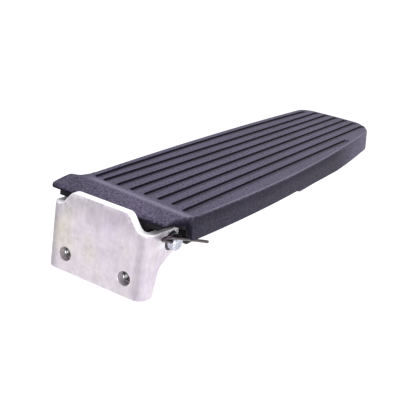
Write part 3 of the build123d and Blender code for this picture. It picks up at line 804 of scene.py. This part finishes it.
# ---------------------------------------------------------------- materials
class Finish:
    """A node material with one shader, whose inputs are fed by noise in the piece's own space."""

    def __init__(self, name, metallic=0.0, roughness=0.5, specular=0.5):
        self.material = bpy.data.materials.new(name)
        self.material.use_nodes = True
        self.tree = self.material.node_tree
        self.shader = self.tree.nodes["Principled BSDF"]
        self.shader.inputs["Metallic"].default_value = metallic
        self.shader.inputs["Roughness"].default_value = roughness
        self.shader.inputs["Specular IOR Level"].default_value = specular
        self.place = self.tree.nodes.new("ShaderNodeTexCoord").outputs["Object"]

    def link(self, output, target):
        self.tree.links.new(output, target)

    def noise(self, size, stretch=(1, 1, 1), detail=3.0, rough=0.55, seed=0.0):
        """Noise whose grains are about size millimetres, longer along an axis by its stretch."""
        mapping = self.tree.nodes.new("ShaderNodeMapping")
        mapping.inputs["Scale"].default_value = [1 / (size * MM * s) for s in stretch]
        mapping.inputs["Location"].default_value = (seed, seed * 1.7, seed * 0.6)
        self.link(self.place, mapping.inputs["Vector"])
        node = self.tree.nodes.new("ShaderNodeTexNoise")
        node.inputs["Scale"].default_value = 1.0
        node.inputs["Detail"].default_value = detail
        node.inputs["Roughness"].default_value = rough
        self.link(mapping.outputs["Vector"], node.inputs["Vector"])
        return node.outputs["Fac"]

    def painted_shading(self):
        """The mesh's own painted light and shade, as 0 for full painted shade to 1 for a full painted highlight,
        with 0.5 between them.
        """
        node = self.tree.nodes.new("ShaderNodeAttribute")
        node.attribute_name = "painted_shading"
        scaled = self.tree.nodes.new("ShaderNodeMapRange")
        scaled.inputs["From Min"].default_value = -1.0
        self.link(node.outputs["Fac"], scaled.inputs["Value"])
        return scaled.outputs["Result"]

    def ramp(self, value, *stops):
        """Maps a value through (position, colour) stops; a number stands for a grey."""
        node = self.tree.nodes.new("ShaderNodeValToRGB")
        elements = node.color_ramp.elements
        while len(elements) < len(stops):
            elements.new(0.5)
        for element, (position, colour) in zip(elements, stops):
            element.position = position
            rgb = (colour,) * 3 if isinstance(colour, (int, float)) else colour
            element.color = (*rgb, 1.0)
        self.link(value, node.inputs["Fac"])
        return node.outputs["Color"]

    def mix(self, share, a, b, blend="MIX"):
        """From a at share 0 to b at share 1; each is a node's output or a constant."""
        node = self.tree.nodes.new("ShaderNodeMix")
        node.data_type = "RGBA"
        node.blend_type = blend
        for source, target in ((share, node.inputs["Factor"]), (a, node.inputs[6]), (b, node.inputs[7])):
            if isinstance(source, (int, float)):
                target.default_value = source
            elif isinstance(source, tuple):
                target.default_value = (*source, 1.0)
            else:
                self.link(source, target)
        return node.outputs[2]

    def multiply(self, a, b):
        return self.mix(1.0, a, b, "MULTIPLY")

    def colour(self, output):
        self.link(output, self.shader.inputs["Base Color"])

    def roughness(self, output):
        self.link(output, self.shader.inputs["Roughness"])

    def bump(self, output, depth):
        """Relief from a value, with depth in millimetres; several calls add up."""
        node = self.tree.nodes.new("ShaderNodeBump")
        node.inputs["Distance"].default_value = depth * MM
        self.link(output, node.inputs["Height"])
        target = self.shader.inputs["Normal"]
        if target.links:
            self.link(target.links[0].from_socket, node.inputs["Normal"])
        self.link(node.outputs["Normal"], target)


def tread_rubber():
    """Matte black-violet rubber with a fine mottle, painted shade in its grooves and on its shaded faces, and
    painted highlights on the crest and the right rim.
    """
    finish = Finish("tread_rubber", specular=0.20)
    fine = finish.noise(1.0, detail=5.0, rough=0.8)
    broad = finish.noise(22.0, stretch=(1, 2.4, 1), detail=2.0, seed=3.0)
    base = finish.ramp(fine, (0.40, (0.017, 0.012, 0.030)), (0.60, (0.120, 0.102, 0.167)))
    cloud = finish.ramp(broad, (0.35, 0.82), (0.65, 1.0))
    painted_shading = finish.painted_shading()
    # painted shade, down to a near-black violet, in the grooves, down the right side, under the hood's lip and on
    # the underside
    painted_darkening = finish.ramp(painted_shading, (0.02, (0.02, 0.01, 0.07)), (0.5, 1.0))
    darkened_base = finish.multiply(finish.multiply(base, cloud), painted_darkening)
    # painted highlight, paler towards grey-violet, along the crest and the right rim, and painted light near the
    # far end of the right side
    highlight_share = finish.ramp(painted_shading, (0.5, 0.0), (1.0, 0.80))
    finish.colour(finish.mix(highlight_share, darkened_base, (0.22, 0.20, 0.27)))
    grain = finish.ramp(fine, (0.3, 0.72), (0.7, 0.54))
    deep = finish.ramp(painted_shading, (0.04, 1.0), (0.16, 0.0))
    finish.roughness(finish.mix(deep, grain, (1.0, 1.0, 1.0)))
    finish.bump(finish.noise(0.9, detail=3.0, seed=5.0), 0.05)
    finish.bump(fine, 0.03)
    return finish.material


def zinc_plate():
    """Zinc plating with a faint rainbow, stains and scratches, painted shade in the bends and below the top of the
    tab, painted highlights on the edges and the tops of the ears.
    """
    finish = Finish("zinc_plated_steel")
    broad = finish.noise(15.0, stretch=(1, 1, 1.6), detail=2.5, seed=1.0)
    blotch = finish.noise(4.5, detail=5.0, rough=0.65, seed=2.0)
    streak = finish.noise(1.6, stretch=(1, 1, 14), detail=3.0, seed=8.0)
    scratch = finish.noise(0.5, stretch=(9, 1, 1), detail=2.0, seed=4.0)
    tint = finish.ramp(broad, (0.30, (0.65, 0.575, 0.67)), (0.52, (0.66, 0.605, 0.655)),
                       (0.76, (0.67, 0.63, 0.57)))
    blotches = finish.ramp(blotch, (0.34, 0.86), (0.60, 1.0))
    streaks = finish.ramp(streak, (0.30, 0.93), (0.60, 1.0))
    scratches = finish.ramp(scratch, (0.27, 0.72), (0.36, 1.0))
    shaded = finish.multiply(finish.multiply(finish.multiply(tint, blotches), streaks), scratches)
    painted_shading = finish.painted_shading()
    # painted shade below the top of the tab and at the bends, and a painted highlight, paler and less metallic, on
    # the edges and the tops of the ears
    painted_shade = finish.multiply(shaded, finish.ramp(painted_shading, (0.0, 0.45), (0.5, 1.0)))
    painted_highlight = finish.ramp(painted_shading, (0.5, 0.0), (1.0, 0.9))
    finish.colour(finish.mix(painted_highlight, painted_shade, (0.93, 0.92, 0.95)))
    finish.link(finish.ramp(painted_shading, (0.5, 0.55), (1.0, 0.15)), finish.shader.inputs["Metallic"])
    finish.roughness(finish.ramp(blotch, (0.30, 0.52), (0.70, 0.36)))
    finish.bump(finish.noise(0.5, stretch=(1, 1, 5), detail=3.0, seed=6.0), 0.02)
    finish.bump(blotch, 0.04)
    return finish.material


def steel(name, colour, dark, roughness, stretch=(1, 1, 1)):
    """Bare or plated metal with small stains, a fine grain and painted shade in its creases."""
    finish = Finish(name, metallic=0.9)
    stain = finish.noise(3.0, detail=4.0, rough=0.6, seed=len(name))
    fine = finish.noise(0.4, stretch=stretch, detail=3.0, seed=2.0)
    stained = finish.ramp(stain, (0.32, dark), (0.62, colour))
    # painted shade in the creases, such as the roots of the nuts' threads
    painted_darkening = finish.ramp(finish.painted_shading(), (0.0, 0.12), (0.5, 1.0))
    finish.colour(finish.multiply(stained, painted_darkening))
    finish.roughness(finish.ramp(fine, (0.3, roughness + 0.12), (0.7, roughness - 0.08)))
    finish.bump(fine, 0.015)
    return finish.material


def plastic(name, colour, roughness, depth, specular):
    """Moulded plastic with a fine grain, depth millimetres deep, and faint flow marks."""
    finish = Finish(name, specular=specular)
    fine = finish.noise(0.5)
    flow = finish.noise(14.0, stretch=(1, 3, 1), detail=2.0, seed=7.0)
    lighter = tuple(c * 1.7 for c in colour)
    finish.colour(finish.ramp(flow, (0.3, colour), (0.75, lighter)))
    finish.roughness(finish.ramp(fine, (0.3, roughness + 0.1), (0.7, roughness - 0.08)))
    finish.bump(fine, depth)
    return finish.material


MATERIALS = {
    "tread_rubber": tread_rubber(),
    "zinc_plated_steel": zinc_plate(),
    "nut_steel": steel("nut_steel", (0.34, 0.33, 0.34), (0.16, 0.15, 0.15), 0.28),
    "pin_steel": steel("pin_steel", (0.55, 0.57, 0.64), (0.34, 0.35, 0.40), 0.24),
    "clip_steel": steel("clip_steel", (0.080, 0.055, 0.068), (0.040, 0.029, 0.035), 0.28),
    "spring_steel": steel("spring_steel", (0.20, 0.20, 0.21), (0.10, 0.09, 0.09), 0.36),
    "wear_steel": steel("wear_steel", (0.58, 0.59, 0.61), (0.42, 0.42, 0.43), 0.30, stretch=(1, 12, 1)),
    "rivet_aluminium": steel("rivet_aluminium", (0.80, 0.80, 0.81), (0.62, 0.62, 0.63), 0.33),
    "bush_plastic": plastic("bush_plastic", (0.012, 0.012, 0.013), 0.38, 0.02, specular=0.4),
    "body_plastic": plastic("body_plastic", (0.009, 0.008, 0.010), 0.66, 0.04, specular=0.15),
}


def dress(piece, slot, body, *nodes):
    """Gives a new piece its material, its body and the CAD nodes that it stands for."""
    piece.data.materials.clear()
    piece.data.materials.append(MATERIALS[slot])
    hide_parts(*nodes)
    if body:
        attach(piece, body)
    return piece


# ---------------------------------------------------------------- the pieces
dress(tread_cover(), "tread_rubber", "pedal", "tread_cover")
dress(hinge_bracket(), "zinc_plated_steel", "bracket", "hinge_bracket")
dress(weld_nut(-1), "nut_steel", "bracket", "weld_nut_left")
dress(weld_nut(1), "nut_steel", "bracket", "weld_nut_right")
dress(hairpin_clip(), "clip_steel", "bracket", "hairpin_clip")
spring = dress(return_spring(), "spring_steel", None, "return_spring")
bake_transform(spring)

# the CAD nodes that stay get their materials, and so do the replaced ones, which don't show
for subpart in frame["record"]["subparts"]:
    node = frame["nodes"][subpart["node"]]
    node.data.materials.clear()
    node.data.materials.append(MATERIALS[subpart["material_slot"]])


# ---------------------------------------------------------------- floor, light and camera
FLOOR_Z = -600.0
FLOOR_REACH = 30000.0
LAMPS_AIM = (0.0, 0.12, 0.02)


def stage_floor():
    """A plain round floor, so far below the pedal that its shadow doesn't show on it."""
    shape = Shape()
    shape.fill(circle(0, 0, FLOOR_REACH, 96), (), [(0.0, 0.0)], lambda xy: at_depth(xy, FLOOR_Z))
    floor = shape.build("floor")
    finish = Finish("floor_paper", roughness=0.9, specular=0.1)
    finish.colour(finish.ramp(finish.noise(400.0), (0.3, (0.76, 0.76, 0.765)), (0.7, (0.79, 0.79, 0.79))))
    floor.data.materials.append(finish.material)


def lamp(kind, name, place, energy):
    """A lamp that shines from a place, in metres, towards the middle of the pedal."""
    light = bpy.data.lights.new(name, kind)
    light.energy = energy
    body = bpy.data.objects.new(name, light)
    body.location = place
    body.rotation_euler = (Vector(LAMPS_AIM) - Vector(place)).to_track_quat("-Z", "Y").to_euler()
    bpy.context.scene.collection.objects.link(body)
    return light


def studio():
    """Pale surroundings, a broad soft lamp overhead and a weaker one from the right front."""
    world = bpy.data.worlds.new("studio")
    bpy.context.scene.world = world
    world.use_nodes = True
    background = world.node_tree.nodes["Background"]
    background.inputs["Color"].default_value = (0.97, 0.97, 1.0, 1.0)
    background.inputs["Strength"].default_value = 0.42
    overhead = lamp("SUN", "overhead", (0.25, 0.75, 1.2), 3.7)
    overhead.angle = math.radians(70)
    front = lamp("AREA", "front", (1.1, -0.95, 0.30), 17.0)
    front.shape = "RECTANGLE"
    front.size, front.size_y = 0.8, 0.6
    bpy.context.scene.view_settings.view_transform = "Standard"


def camera():
    """The photograph's view, with its angles in degrees and its place in metres."""
    lens = bpy.data.cameras.new("camera")
    lens.sensor_width = 36.0
    lens.lens = 64.45
    lens.clip_start, lens.clip_end = 0.01, 50.0
    turned_left, looking_down, rolled = 27.35, 20.09, 9.22
    view = Euler((math.radians(90 - looking_down), 0, math.radians(turned_left))).to_matrix()
    roll = Matrix.Rotation(math.radians(rolled), 3, "Z")
    body = bpy.data.objects.new("camera", lens)
    body.rotation_euler = (view @ roll).to_euler()
    body.location = (0.1882, -0.2580, 0.1531)
    bpy.context.scene.collection.objects.link(body)
    bpy.context.scene.camera = body


stage_floor()
studio()
camera()
